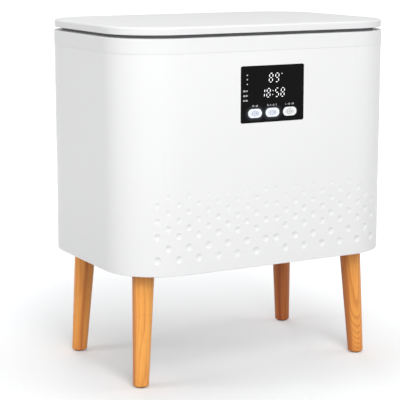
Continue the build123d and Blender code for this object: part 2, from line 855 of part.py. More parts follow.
with BuildPart() as thermal_fuse:
    fuse_plane = Plane((0, fuse_y, bucket_bottom - fuse_radius), z_dir=(1, 0, 0))
    with Locations(fuse_plane):
        Cylinder(fuse_radius, fuse_length)
    block(
        (-fuse_clip_width / 2, fuse_clip_width / 2),
        (fuse_y - fuse_clip_reach, fuse_y + fuse_clip_reach),
        (bucket_bottom - ear_thickness, bucket_bottom),
    )
save(thermal_fuse, "thermal_fuse")

# Cord gland and the lead behind it
gland_inner_end = shell_inside - gland_inside_length
with BuildPart() as cord_gland:
    with Locations(Plane((lead_column, gland_inner_end, lead_height), z_dir=(0, 1, 0))):
        Cylinder(
            gland_radius,
            shell_front - gland_inner_end,
            align=(Align.CENTER, Align.CENTER, Align.MIN),
        )
    with Locations(Plane((lead_column, shell_front, lead_height), z_dir=(0, 1, 0))):
        Cylinder(
            gland_flange_radius,
            gland_flange_thickness,
            align=(Align.CENTER, Align.CENTER, Align.MIN),
        )
    with Locations(Plane((lead_column, shell_front, lead_height), z_dir=(0, 1, 0))):
        Cylinder(gland_bore_radius, 2 * through, mode=Mode.SUBTRACT)
save(cord_gland, "cord_gland")

with BuildPart() as inner_lead:
    with BuildLine():
        FilletPolyline(
            (lead_column, gland_inner_end, lead_height),
            (lead_column, lead_turn_y, lead_height),
            (lead_turn_x, 0, lead_height),
            (terminal_right, 0, lead_height),
            radius=lead_bend,
        )
    with BuildSketch(Plane((lead_column, gland_inner_end, lead_height), z_dir=(0, -1, 0))):
        Circle(lead_radius)
    sweep()
save(inner_lead, "inner_lead")
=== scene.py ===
import bpy
import json
import math
from mathutils import Matrix, Vector


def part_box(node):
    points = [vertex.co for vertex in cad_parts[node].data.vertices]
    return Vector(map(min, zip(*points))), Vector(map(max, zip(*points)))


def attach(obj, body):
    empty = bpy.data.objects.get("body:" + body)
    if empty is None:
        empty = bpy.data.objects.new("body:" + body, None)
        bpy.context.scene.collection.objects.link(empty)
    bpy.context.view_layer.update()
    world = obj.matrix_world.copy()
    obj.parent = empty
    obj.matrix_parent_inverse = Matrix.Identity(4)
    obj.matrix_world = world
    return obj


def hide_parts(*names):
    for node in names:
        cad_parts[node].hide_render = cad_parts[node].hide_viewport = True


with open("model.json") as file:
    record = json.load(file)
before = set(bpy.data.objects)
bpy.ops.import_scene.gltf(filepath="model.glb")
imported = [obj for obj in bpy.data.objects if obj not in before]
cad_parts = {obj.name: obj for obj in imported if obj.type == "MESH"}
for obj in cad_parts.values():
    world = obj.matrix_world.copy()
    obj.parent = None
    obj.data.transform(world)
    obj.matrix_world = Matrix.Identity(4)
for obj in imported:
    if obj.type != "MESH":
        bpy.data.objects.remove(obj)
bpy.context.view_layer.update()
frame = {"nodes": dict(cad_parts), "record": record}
nodes = frame["nodes"]
mm = 0.001


# Shader maths written as sums: one wrapped socket, and one material being built
class Level:
    def __init__(self, surface, socket):
        self.surface, self.socket = surface, socket

    def sum(self, operation, *others, clamp=False):
        settings = {"operation": operation, "use_clamp": clamp}
        inputs = dict(enumerate((self, *others)))
        return self.surface.node("ShaderNodeMath", settings, inputs)

    def __add__(self, other):
        return self.sum("ADD", other)

    def __sub__(self, other):
        return self.sum("SUBTRACT", other)

    def __mul__(self, other):
        return self.sum("MULTIPLY", other)

    def __truediv__(self, number):
        return self * (1.0 / number)

    def __rsub__(self, other):
        return self.surface.node("ShaderNodeMath", {"operation": "SUBTRACT"}, {0: other, 1: self})

    __radd__, __rmul__ = __add__, __mul__

    def limit(self):
        return self.sum("ADD", 0.0, clamp=True)


class Surface:
    def __init__(self, name, **constants):
        self.material = bpy.data.materials.new(name)
        self.material.use_nodes = True
        self.tree = self.material.node_tree
        self.shader = self.tree.nodes["Principled BSDF"]
        for socket, value in constants.items():
            self.shader.inputs[socket.replace("_", " ")].default_value = value

    def feed(self, socket, value):
        if isinstance(value, Level):
            self.tree.links.new(value.socket, socket)
        elif hasattr(value, "__len__") and len(socket.default_value) == 4:
            socket.default_value = (*value, 1.0)[:4]
        else:
            socket.default_value = value

    def node(self, kind, settings=None, inputs=None, output=0):
        made = self.tree.nodes.new(kind)
        for key, value in (settings or {}).items():
            if key == "stops":
                ramp = made.color_ramp
                while len(ramp.elements) < len(value):
                    ramp.elements.new(0.5)
                for element, (place, colour) in zip(ramp.elements, value):
                    element.position = place
                    element.color = (*colour, 1.0)
            else:
                setattr(made, key, value)
        for key, value in (inputs or {}).items():
            self.feed(made.inputs[key], value)
        return Level(self, made.outputs[output])

    def place(self, move=(0, 0, 0), scale=(1, 1, 1)):
        spot = self.node("ShaderNodeTexCoord", output="Object")
        inputs = {"Vector": spot, "Location": move, "Scale": scale}
        return self.node("ShaderNodeMapping", inputs=inputs)

    def noise(self, where, scale, detail=2.0, rough=0.5):
        inputs = {"Vector": where, "Scale": scale, "Detail": detail, "Roughness": rough}
        return self.node("ShaderNodeTexNoise", inputs=inputs)

    def ramp(self, factor, stops):
        return self.node("ShaderNodeValToRGB", {"stops": stops}, {"Fac": factor})

    def mix(self, factor, first, second):
        inputs = {"Factor": factor, 6: first, 7: second}
        return self.node("ShaderNodeMix", {"data_type": "RGBA"}, inputs, output=2)

    def axes(self, where):
        split = self.node("ShaderNodeSeparateXYZ", inputs={"Vector": where})
        outputs = split.socket.node.outputs
        return [Level(self, outputs[axis]) for axis in "XYZ"]

    def bump(self, height, strength, depth):
        inputs = {"Strength": strength, "Distance": depth, "Height": height}
        self.set("Normal", self.node("ShaderNodeBump", inputs=inputs))

    def glow(self, colour, strength=1.0):
        self.set("Emission Color", colour)
        self.set("Emission Strength", strength)

    def set(self, socket, value):
        self.feed(self.shader.inputs[socket], value)


def dress(thing, surface):
    thing.data.materials.clear()
    thing.data.materials.append(surface.material)


# Moulded plastic, rubber and foam: soft clouds of colour over a fine grain
mouldedLook = {
    "clouds": (9.0, 3.0),  # scale and detail
    "grainDetail": 2.0,
    "cloudShine": 0.06,
    "grainShine": 0.04,
    "grainHeight": 0.1 * mm,
}
mouldedFinishes = {
    # shine is the roughness, grain the scale of the grain, relief its strength, cloud how much darker
    # the clouds get, gloss the specular level
    "whiteBody": {"colour": (0.86, 0.862, 0.865), "shine": 0.32, "gloss": 0.28},
    "whiteLid": {"colour": (0.86, 0.862, 0.865), "shine": 0.38, "gloss": 0.24},
    # the collar's white is a little darker than the body's: painted shade for the lid's shadow on the band
    # below the gap
    "shadedCollarWhite": {"colour": (0.835, 0.837, 0.84), "shine": 0.32, "gloss": 0.28},
    "whiteInner": {"colour": (0.80, 0.80, 0.795), "shine": 0.42, "relief": 0.04},
    "lampDiffuser": {
        "colour": (0.85, 0.85, 0.8), "shine": 0.4, "grain": 900.0, "relief": 0.05, "cloud": 0.05,
    },
    "darkRubber": {
        "colour": (0.085, 0.086, 0.09), "shine": 0.58, "grain": 900.0, "relief": 0.10, "cloud": 0.3,
    },
    "gasketGrey": {
        "colour": (0.165, 0.167, 0.173), "shine": 0.62, "grain": 900.0, "relief": 0.10, "cloud": 0.12,
    },
    "heaterFilm": {
        "colour": (0.42, 0.16, 0.04), "shine": 0.5, "grain": 500.0, "relief": 0.2, "cloud": 0.2,
    },
    "greyFoam": {
        "colour": (0.55, 0.55, 0.53), "shine": 0.85, "grain": 700.0, "relief": 0.6, "cloud": 0.25,
    },
    "boardGreen": {
        "colour": (0.03, 0.14, 0.06), "shine": 0.32, "grain": 600.0, "relief": 0.2, "cloud": 0.35,
    },
    "blackParts": {
        "colour": (0.03, 0.03, 0.033), "shine": 0.45, "grain": 900.0, "relief": 0.08, "cloud": 0.3,
    },
    "greyRibbon": {
        "colour": (0.42, 0.42, 0.44), "shine": 0.5, "grain": 900.0, "relief": 0.08, "cloud": 0.15,
    },
    "iconBlueGrey": {
        "colour": (0.30, 0.32, 0.42), "shine": 0.45, "grain": 900.0, "relief": 0.02, "cloud": 0.1,
    },
    "iconGrey": {
        "colour": (0.36, 0.36, 0.35), "shine": 0.45, "grain": 900.0, "relief": 0.02, "cloud": 0.1,
    },
}


def moulded(name, colour, shine, grain=1400.0, relief=0.02, cloud=0.02, gloss=0.5):
    surface = Surface(name, Specular_IOR_Level=gloss)
    where = surface.place()
    clouds = surface.noise(where, *mouldedLook["clouds"])
    grains = surface.noise(where, grain, mouldedLook["grainDetail"])
    low = [channel * (1 - cloud) for channel in colour]
    surface.set("Base Color", surface.mix(clouds, low, colour))
    rough = shine + mouldedLook["cloudShine"] * clouds + mouldedLook["grainShine"] * grains
    surface.set("Roughness", rough)
    surface.bump(grains, relief, mouldedLook["grainHeight"])
    return surface


# Plated and brushed metal: streaks that run the way they are stretched, over wide blotches
platedLook = {
    "streaks": (12.0, 4.0, 0.6),  # scale, detail and roughness of the noise
    "blotches": (45.0, 3.0),
    "dulling": 0.82,
    "streakShine": 0.14,
    "streakRelief": 0.05,
    "streakHeight": 0.1 * mm,
}
platedFinishes = {
    "zincPlate": {"colour": (0.50, 0.51, 0.53), "shine": 0.28, "stretch": (60, 60, 60)},
    "bucketAluminium": {"colour": (0.80, 0.805, 0.81), "shine": 0.30, "stretch": (4, 4, 400)},
}


def plated(name, colour, shine, stretch):
    surface = Surface(name, Metallic=1.0)
    streaks = surface.noise(surface.place(scale=stretch), *platedLook["streaks"])
    blotches = surface.noise(surface.place(), *platedLook["blotches"])
    dull = [channel * platedLook["dulling"] for channel in colour]
    surface.set("Base Color", surface.mix(blotches, dull, colour))
    surface.set("Roughness", shine + platedLook["streakShine"] * streaks)
    surface.bump(streaks, platedLook["streakRelief"], platedLook["streakHeight"])
    return surface


finishes = {name: moulded(name, **look) for name, look in mouldedFinishes.items()}
finishes.update({name: plated(name, **look) for name, look in platedFinishes.items()})

# Painted shade: the lid's upright edge is painted darker below its top, because less light falls on it
paintedLidEdgeShade = {"colour": (0.80, 0.802, 0.805), "from": 3.5 * mm, "to": 1.0 * mm}  # depths under the top


def paintLidEdgeShade(surface):
    _, _, up = surface.axes(surface.place())
    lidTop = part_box("lid_cover")[1].z
    # painted shade, blending from the darker edge colour into the lid's own white near the top
    share = ((up - (lidTop - paintedLidEdgeShade["from"])) / (paintedLidEdgeShade["from"] - paintedLidEdgeShade["to"])).limit()
    surface.set("Base Color", surface.mix(share, paintedLidEdgeShade["colour"], mouldedFinishes["whiteLid"]["colour"]))


paintLidEdgeShade(finishes["whiteLid"])
print("plastics and metals", len(finishes))


# Oiled wood, drawn in each leg's own space: z along the leg, angles taken round its axis
wood = {
    "pale": (0.97, 0.435, 0.098),
    "mid": (0.92, 0.372, 0.076),
    "heart": (0.60, 0.185, 0.048),
    "dark": (0.50, 0.096, 0.022),
    "coat": {"Coat_Weight": 0.12, "Coat_Roughness": 0.28, "Specular_IOR_Level": 0.35},
    "ringPitch": 2.6 * mm,
    "ringTones": ((0.0, 0.0), (0.5, 0.2), (0.86, 1.0), (1.0, 0.0)),  # place in a ring and its darkness
    "ringInFibre": 0.55,  # least share of a ring's darkness between the fibres
    "pith": 30.0 * mm,  # from the leg's axis to the middle of the rings
    "heartSoftness": 0.35,
    "heartWander": 0.5,
    "heartShare": 0.80,
    "streakShare": 0.65,
    "lineShare": 0.30,
    "poreShare": 0.40,
    "poreRelief": 0.8,
    "shine": (0.38, 0.16, 0.1),  # roughness, and what the fibres and the pores add
    "bump": (0.12, 0.12 * mm),
    # how far the painted shade at the leg's ends reaches
    "paintedShadeReach": (28.0 * mm, 16.0 * mm),  # down from the top and up from the foot
    "endBand": 0.1 * mm,
}
noiseMiddle = 0.5
woodNoise = {  # squeeze along the leg, then scale, detail and roughness
    "sway": (0.12, 55.0, 2.0, 0.5),
    "fibre": (0.035, 1500.0, 3.0, 0.6),
    "pores": (0.035, 3200.0, 1.0, 0.5),
    "streaks": (0.03, 330.0, 2.0, 0.5),
    "patches": (0.25, 70.0, 2.0, 0.5),
    "lines": (0.025, 620.0, 1.0, 0.5),
}
woodMasks = {  # level of the noise from which each shows, and how fast it fills in above that
    "pores": (0.62, 9.0), "streaks": (0.45, 3.0), "patches": (0.25, 1.4), "lines": (0.525, 4.0),
}
legLooks = {
    # turn of the grain, tint (for the rear right leg partly painted shade), bend of the arches and their
    # top, strength and waves of the rings, middle and half width of the heartwood as angles, painted shade
    # at the top and at the foot
    "leg_front_left": {
        "turn": 0.05, "tintAndShade": (1.02, 1.07, 1.08), "arch": 0.25, "archTop": 0.15, "figure": 0.26,
        "waves": 5.0 * mm, "heart": (-1.50, 0.12), "endShade": (0.62, 0.15),
    },
    "leg_front_right": {
        "turn": 0.20, "tintAndShade": (1.01, 1.0, 1.0), "arch": -2.4, "archTop": 0.085, "figure": 0.44,
        "waves": 1.6 * mm, "heart": (-1.30, 0.40), "endShade": (0.35, 0.30),
    },
    "leg_rear_left": {
        "turn": 0.60, "tintAndShade": (1.02, 0.99, 1.02), "arch": 0.2, "archTop": 0.12, "figure": 0.25,
        "waves": 5.0 * mm, "heart": (0.40, 0.0), "endShade": (0.0, 0.25),
    },
    "leg_rear_right": {
        # the rear right leg's dark tint is partly darker wood and partly painted shade for the shade it
        # stands in
        "turn": 0.55, "tintAndShade": (0.66, 0.49, 0.57), "arch": 0.2, "archTop": 0.06, "figure": 0.40,
        "waves": 5.0 * mm, "heart": (-0.30, 0.02), "endShade": (0.0, 0.35),
    },
}


def legEnds(name):
    # middles of a leg's foot and top, from the rings of points at its ends
    points = [vertex.co for vertex in nodes[name].data.vertices]
    ends = []
    for level in (min(point.z for point in points), max(point.z for point in points)):
        ring = [point for point in points if abs(point.z - level) < wood["endBand"]]
        spans = [(min(p[k] for p in ring) + max(p[k] for p in ring)) / 2 for k in (0, 1)]
        ends.append(Vector((*spans, level)))
    return ends


def legSpace(surface, ends, turn):
    # the leg stood upright on its foot, with its grain turned round and squeezed along its axis
    foot, top = ends
    x, y, up = surface.axes(surface.place(move=(-foot.x, -foot.y, 0.0)))
    slope = (top - foot) / (top.z - foot.z)
    upright = {"X": x - up * slope.x, "Y": y - up * slope.y, "Z": up}
    straight = surface.node("ShaderNodeCombineXYZ", inputs=upright)

    def squeezed(along):
        inputs = {"Vector": straight, "Rotation": (0.0, 0.0, turn), "Scale": (1, 1, along)}
        return surface.node("ShaderNodeMapping", inputs=inputs)

    return squeezed, up


def growthRings(surface, across, deep, up, sway, look):
    archRise = (look["archTop"] - up).sum("MAXIMUM", 0.0)
    fromPith = deep - wood["pith"]
    rings = (across * across + fromPith * fromPith).sum("SQRT")
    rings = rings + look["waves"] * sway + look["arch"] * archRise * archRise
    phase = (rings / wood["ringPitch"]).sum("FRACT")
    return surface.ramp(phase, [(place, (darkness,) * 3) for place, darkness in wood["ringTones"]])


def heartwood(across, deep, sway, middle, half):
    angle = across.sum("ARCTAN2", 0.0 - deep) + wood["heartWander"] * (sway - noiseMiddle)
    outside = (angle - middle).sum("ABSOLUTE") - half
    return (1.0 - outside / wood["heartSoftness"]).limit()


# painted shade: the leg darkens towards the heartwood tone near its top under the body and near its foot
# on the floor
def paintedEndShade(up, legTop, topShare, footShare):
    topReach, footReach = wood["paintedShadeReach"]
    topShade = ((up - (legTop - topReach)) / topReach).limit() * topShare
    footShade = ((footReach - up) / footReach).limit() * footShare
    return topShade + footShade


def oiledWood(name, ends, look):
    surface = Surface(name, **wood["coat"])
    squeezed, up = legSpace(surface, ends, look["turn"])

    def noise(key):
        along, *settings = woodNoise[key]
        return surface.noise(squeezed(along), *settings)

    def mask(key):
        threshold, gain = woodMasks[key]
        return ((noise(key) - threshold) * gain).limit()

    across, deep, _ = surface.axes(squeezed(1.0))
    sway, fibre, pores = noise("sway"), noise("fibre"), mask("pores")
    pale, mid, heart, dark = [
        [channel * share for channel, share in zip(wood[key], look["tintAndShade"])]
        for key in ("pale", "mid", "heart", "dark")
    ]
    base = surface.mix(mask("patches"), pale, mid)
    base = surface.mix(mask("streaks") * wood["streakShare"], base, mid)
    base = surface.mix(mask("lines") * wood["lineShare"], base, heart)
    heartShare = heartwood(across, deep, sway, *look["heart"])
    base = surface.mix(wood["heartShare"] * heartShare, base, heart)
    # painted shade at the top and the foot of the leg
    base = surface.mix(paintedEndShade(up, ends[1].z, *look["endShade"]), base, heart)
    rings = growthRings(surface, across, deep, up, sway, look)
    base = surface.mix(look["figure"] * rings * (wood["ringInFibre"] + fibre), base, dark)
    surface.set("Base Color", surface.mix(wood["poreShare"] * pores, base, dark))
    plain, fibreShine, poreShine = wood["shine"]
    surface.set("Roughness", plain + fibreShine * fibre + poreShine * pores)
    surface.bump(fibre - wood["poreRelief"] * pores, *wood["bump"])
    return surface


# The panel: a dark window with a painted glow where the lit buttons' light falls on it, and buttons
# brighter at the rim
panel = {
    "window": ((0.0025, 0.0025, 0.0028), (0.0045, 0.0045, 0.0048)),
    "windowShine": (0.10, 0.10),  # roughness, and what the smudges add
    "smudges": (60.0, 4.0, 0.6),
    "haloReach": 6.2 * mm,
    "haloColour": (0.050, 0.057, 0.070),
    "buttonFlange": 1.0 * mm,
    "rimReach": 6.0 * mm,
    "speckles": (1200.0, 2.0),
    "buttonShine": (0.30, 0.06),
    "lift": 0.02 * mm,  # how far lit marks and signs stand in front
}
buttonLooks = {"timer_button": "lit", "power_button": "lit", "delay_button": "unlit"}
buttonTones = {  # colour at the rim and in the middle, then the light each gives off
    "lit": ((0.80, 0.82, 0.84), (0.52, 0.56, 0.64), (0.20, 0.21, 0.24), (0.12, 0.13, 0.17)),
    # the unlit button still gives off a faint glow: painted light, as it has no lamp
    "unlit": ((0.80, 0.82, 0.84), (0.54, 0.54, 0.53), (0.16, 0.16, 0.155), (0.10, 0.10, 0.095)),
}
markLights = {  # colour and strength
    "digitLight": ((0.97, 0.98, 1.0), 1.2),
    "labelLight": ((0.95, 0.97, 1.0), 0.36),
    "faintLight": ((0.92, 0.95, 1.0), 0.22),
}
markLook = {"flicker": (900.0, 2.0), "dimming": 0.86, "body": (0.5, 0.5, 0.5, 1.0), "shine": 0.4}


def outsideButton(surface, node):
    # distance outside the button's outline, in metres, seen square on
    low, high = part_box(node)
    half = (high.z - low.z) / 2 - panel["buttonFlange"]
    reach = (high.x - low.x) / 2 - panel["buttonFlange"] - half
    x, _, z = surface.axes(surface.place())
    along = ((x - (low.x + high.x) / 2).sum("ABSOLUTE") - reach).sum("MAXIMUM", 0.0)
    rise = z - (low.z + high.z) / 2
    return (along * along + rise * rise).sum("SQRT") - half


def windowBlack():
    surface = Surface("windowBlack", Specular_IOR_Level=0.06)
    smudge = surface.noise(surface.place(), *panel["smudges"])
    surface.set("Base Color", surface.mix(smudge, *panel["window"]))
    plain, smudged = panel["windowShine"]
    surface.set("Roughness", plain + smudged * smudge)
    halo = 0.0
    # painted light: a glow on the window round each lit button
    for node, look in buttonLooks.items():
        if look == "lit":
            near = (1.0 - outsideButton(surface, node) / panel["haloReach"]).limit()
            halo = near * near + halo
    surface.glow(surface.mix(halo.limit(), (0, 0, 0), panel["haloColour"]))
    return surface


def buttonWhite(node):
    surface = Surface(f"lit_{node}", Coat_Weight=0.3, Coat_Roughness=0.1)
    depth = (outsideButton(surface, node) / -panel["rimReach"]).limit()
    rim, middle, rimLight, middleLight = buttonTones[buttonLooks[node]]
    surface.set("Base Color", surface.mix(depth, rim, middle))
    plain, speckled = panel["buttonShine"]
    surface.set("Roughness", plain + speckled * surface.noise(surface.place(), *panel["speckles"]))
    surface.glow(surface.mix(depth, rimLight, middleLight))
    return surface


def litMark(name, colour, strength):
    surface = Surface(name, Roughness=markLook["shine"], Base_Color=markLook["body"])
    flicker = surface.noise(surface.place(), *markLook["flicker"])
    dim = [channel * markLook["dimming"] for channel in colour]
    surface.glow(surface.mix(flicker, dim, colour), strength)
    return surface


finishes.update({name: litMark(name, *look) for name, look in markLights.items()})

slotFinish = {
    "white_plastic": "whiteBody",
    "bucket_metal": "bucketAluminium",
    "dark_rubber": "darkRubber",
    "heater_film": "heaterFilm",
    "foam": "greyFoam",
    "zinc_steel": "zincPlate",
    "inner_plastic": "whiteInner",
    "circuit_board": "boardGreen",
    "lamp_white": "lampDiffuser",
    "component_black": "blackParts",
    "ribbon_grey": "greyRibbon",
}
ownFinish = {"lid_cover": "whiteLid", "rim_gasket": "gasketGrey", "rim_collar": "shadedCollarWhite"}
slotOf = {entry["node"]: entry["material_slot"] for entry in frame["record"]["subparts"]}
for name, thing in nodes.items():
    if name in legLooks:
        dress(thing, oiledWood(f"wood_{name}", legEnds(name), legLooks[name]))
    elif name in buttonLooks:
        dress(thing, buttonWhite(name))
    elif name == "display_window":
        dress(thing, windowBlack())
    else:
        dress(thing, finishes[ownFinish.get(name) or slotFinish[slotOf[name]]])
print("materials on", len(nodes), "nodes")


# Making pieces
def deselect():
    bpy.ops.object.select_all(action="DESELECT")


def settle(thing):
    deselect()
    thing.select_set(True)
    bpy.context.view_layer.objects.active = thing
    bpy.ops.object.transform_apply(location=True, rotation=True, scale=True)
    return thing


def joined(things, name):
    deselect()
    for thing in things:
        thing.select_set(True)
    bpy.context.view_layer.objects.active = things[0]
    if len(things) > 1:
        bpy.ops.object.join()
    piece = bpy.context.object
    piece.name = name
    piece.data.name = name
    return settle(piece)


def finishPiece(piece, surface, body):
    dress(piece, surface)
    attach(piece, body)
    return piece


def stroke(points, width, thickness, front):
    # a flat rounded line in the panel's plane, through points given as (x, z)
    deselect()
    line = bpy.data.curves.new("stroke", "CURVE")
    line.dimensions = "3D"
    run = line.splines.new("POLY")
    run.points.add(len(points) - 1)
    for spot, (x, z) in zip(run.points, points):
        spot.co = (x, 0.0, z, 1.0)
    line.bevel_depth = width / 2
    line.bevel_resolution = 2
    line.use_fill_caps = True
    thing = bpy.data.objects.new("stroke", line)
    bpy.context.collection.objects.link(thing)
    thing.select_set(True)
    bpy.context.view_layer.objects.active = thing
    bpy.ops.object.convert(target="MESH")
    thing = bpy.context.object
    thing.scale.y = thickness / width
    thing.location.y = front
    return settle(thing)


# Seven-segment figures, leaning a little to the right
figures = {
    "width": 6.0 * mm,
    "height": 12.4 * mm,
    "stroke": 0.9 * mm,
    "gap": 2.5 * mm,
    "lean": 0.10,
    "thickness": 0.10 * mm,
    "cornerCut": 0.36,  # share of the stroke
    "dotSides": 16,
    "dotCut": 0.12,  # share of the radius
}
segmentsOf = {
    "0": "abcdef", "1": "bc", "2": "abged", "3": "abgcd", "4": "fgbc",
    "5": "afgcd", "6": "afgecd", "7": "abc", "8": "abcdefg", "9": "abcdfg",
}


def segment(middle, length, upright, front):
    deselect()
    bpy.ops.mesh.primitive_plane_add(size=1.0)
    bar = bpy.context.object
    bar.scale = (length, figures["stroke"], 1.0)
    settle(bar)
    bpy.ops.object.mode_set(mode="EDIT")
    bpy.ops.mesh.select_all(action="SELECT")
    cut = figures["stroke"] * figures["cornerCut"]
    bpy.ops.mesh.bevel(offset=cut, offset_type="OFFSET", segments=2, affect="VERTICES")
    bpy.ops.mesh.select_all(action="SELECT")
    rise = {"value": (0, 0, figures["thickness"])}
    bpy.ops.mesh.extrude_region_move(TRANSFORM_OT_translate=rise)
    bpy.ops.mesh.select_all(action="SELECT")
    bpy.ops.mesh.normals_make_consistent(inside=False)
    bpy.ops.object.mode_set(mode="OBJECT")
    turn = Matrix.Rotation(math.pi / 2, 4, "Z") if upright else Matrix()
    stand = Matrix.Rotation(math.pi / 2, 4, "X")
    bar.data.transform(Matrix.Translation((middle[0], front, middle[1])) @ stand @ turn)
    return bar


def figure(symbol, middle, height, front):
    width = figures["width"] * height / figures["height"]
    half = (height - figures["stroke"]) / 2
    side = (width - figures["stroke"]) / 2
    level = 2 * side - figures["gap"]
    upright = half - figures["gap"]
    bars = {
        "a": (0, half, level, False),
        "g": (0, 0, level, False),
        "d": (0, -half, level, False),
        "f": (-side, half / 2, upright, True),
        "b": (side, half / 2, upright, True),
        "e": (-side, -half / 2, upright, True),
        "c": (side, -half / 2, upright, True),
    }
    made = []
    for key in segmentsOf[symbol]:
        x, z, length, stands = bars[key]
        spot = (middle[0] + x + figures["lean"] * z, middle[1] + z)
        bar = segment(spot, length, stands, front)
        if stands:
            lean = Matrix.Identity(4)
            lean[0][2] = figures["lean"]
            pivot = Matrix.Translation((spot[0], 0, spot[1]))
            bar.data.transform(pivot @ lean @ pivot.inverted())
        made.append(bar)
    return made


def dot(middle, radius, front):
    deselect()
    bpy.ops.mesh.primitive_cylinder_add(
        vertices=figures["dotSides"], radius=radius, depth=figures["thickness"] * 2,
        location=(middle[0], front, middle[1]), rotation=(math.pi / 2, 0, 0),
    )
    bead = settle(bpy.context.object)
    bpy.ops.object.mode_set(mode="EDIT")
    bpy.ops.mesh.select_all(action="SELECT")
    bpy.ops.mesh.bevel(offset=radius * figures["dotCut"], segments=1, affect="EDGES")
    bpy.ops.object.mode_set(mode="OBJECT")
    return bead


# What the panel shows, placed by columns and rises in millimetres from the window's middle
windowLow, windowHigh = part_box("display_window")
windowMiddle = (windowLow + windowHigh) / 2
litFront = windowLow.y - panel["lift"]
display = {
    "rows": [  # figures, the column of each, their rise and their height
        ("89", (-2.7, 6.9), 21.3, 12.6 * mm),
        ("1858", (-15.3, -6.5, 7.0, 15.8), 1.2, 12.4 * mm),
    ],
    "colon": [(0.14, -1.4), (0.66, 3.8)],
    "colonRadius": 0.55 * mm,
    "degree": (14.4, 26.2),
    "degreeRadius": 0.82 * mm,
    "lamps": [(-39.7, 26.05), (-39.7, 20.25), (-39.7, 13.95)],
    "lampRadius": 0.85 * mm,
}


def panelSpot(column, rise):
    return (windowMiddle.x + column * mm, windowMiddle.z + rise * mm)


parts = []
for symbols, columns, rise, height in display["rows"]:
    for symbol, column in zip(symbols, columns):
        parts += figure(symbol, panelSpot(column, rise), height, litFront)
parts += [dot(panelSpot(*spot), display["colonRadius"], litFront) for spot in display["colon"]]
finishPiece(joined(parts, "lit_figures"), finishes["digitLight"], "chassis")
print("figures")

parts = [dot(panelSpot(*display["degree"]), display["degreeRadius"], litFront)]
parts += [dot(panelSpot(*spot), display["lampRadius"], litFront) for spot in display["lamps"]]
finishPiece(joined(parts, "lit_dots"), finishes["labelLight"], "chassis")

numbers = {  # each text's column, rise and height in millimetres
    "lit_numbers": {
        "00:15": (-42.4, 4.85, 2.2), "00:30": (-42.4, -1.55, 2.2), "01:00": (-42.4, -7.85, 2.2),
    },
    "button_numbers": {
        "10 - 60": (-27.7, -15.7, 2.3), "0 - 1 - 2 - 3": (-0.9, -15.5, 2.3),
        "1 - 12 - 24": (26.5, -15.4, 2.4),
    },
}
numberLights = {"lit_numbers": "labelLight", "button_numbers": "faintLight"}
numberLook = {"typeSize": 1.38, "boldness": 0.02}  # as shares of a number's height


def number(text, middle, height, front):
    deselect()
    bpy.ops.object.text_add()
    label = bpy.context.object
    label.data.body = text
    label.data.size = height * numberLook["typeSize"]
    label.data.align_x = "CENTER"
    label.data.align_y = "CENTER"
    label.data.extrude = figures["thickness"] / 2
    label.data.offset = height * numberLook["boldness"]
    label.rotation_euler = (math.pi / 2, 0, 0)
    label.location = (middle[0], front, middle[1])
    bpy.ops.object.convert(target="MESH")
    return settle(bpy.context.object)


for name, texts in numbers.items():
    parts = [number(text, panelSpot(x, z), size * mm, litFront) for text, (x, z, size) in texts.items()]
    finishPiece(joined(parts, name), finishes[numberLights[name]], "chassis")
print("numbers")


# Signs on the buttons, each riding on its own button
signs = {  # arcs as radius, first and last angle, then lines, in millimetres from the sign's middle
    "timer_button": ([(3.5, 0, 360), (5.4, 55, 125)], [[(0, 2.2), (0, 0), (1.6, -1)]]),
    "power_button": ([(3.5, 35, 325), (5.4, 60, 120)], [[(0, 3.9), (0, 0.4)]]),
    "delay_button": ([(3.5, 70, 390)], [[(0, 2), (0, 0), (1.9, 0)], [(1.1, 4.6), (2.6, 3.1)]]),
}
signLook = {
    "line": 0.65 * mm,
    "thickness": 0.16 * mm,
    "shift": -0.9 * mm,
    "arcSteps": 28,
    "lit": "iconBlueGrey",
    "unlit": "iconGrey",
}


def arc(radius, start, end):
    steps = signLook["arcSteps"]
    turns = [math.radians(start + (end - start) * step / steps) for step in range(steps + 1)]
    return [(radius * math.sin(turn), radius * math.cos(turn)) for turn in turns]


def buttonSign(node):
    low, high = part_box(node)
    middleX, middleZ = (low.x + high.x) / 2 + signLook["shift"], (low.z + high.z) / 2
    arcs, lines = signs[node]
    made = []
    for points in [arc(*bow) for bow in arcs] + lines:
        placed = [(middleX + x * mm, middleZ + z * mm) for x, z in points]
        made.append(stroke(placed, signLook["line"], signLook["thickness"], low.y - panel["lift"]))
    surface = finishes[signLook[buttonLooks[node]]]
    finishPiece(joined(made, f"{node}_sign"), surface, node)


for node in buttonLooks:
    buttonSign(node)
print("button signs")


# Screws with a crossed recess, modelled once and set at each CAD screw's place
screw = {
    "radius": 3.0 * mm,
    "rise": 1.4 * mm,
    "recessWidth": 0.7 * mm,
    "recessLength": 3.8 * mm,
    "roundness": 0.55,  # share of the rise
    "sides": 32,
    "smoothAngle": 35,
    "endBand": 0.05 * mm,
    "spread": 2.2,  # radii within which points belong to one screw
    "firstTurn": 0.3,
    "nextTurn": 0.9,
}


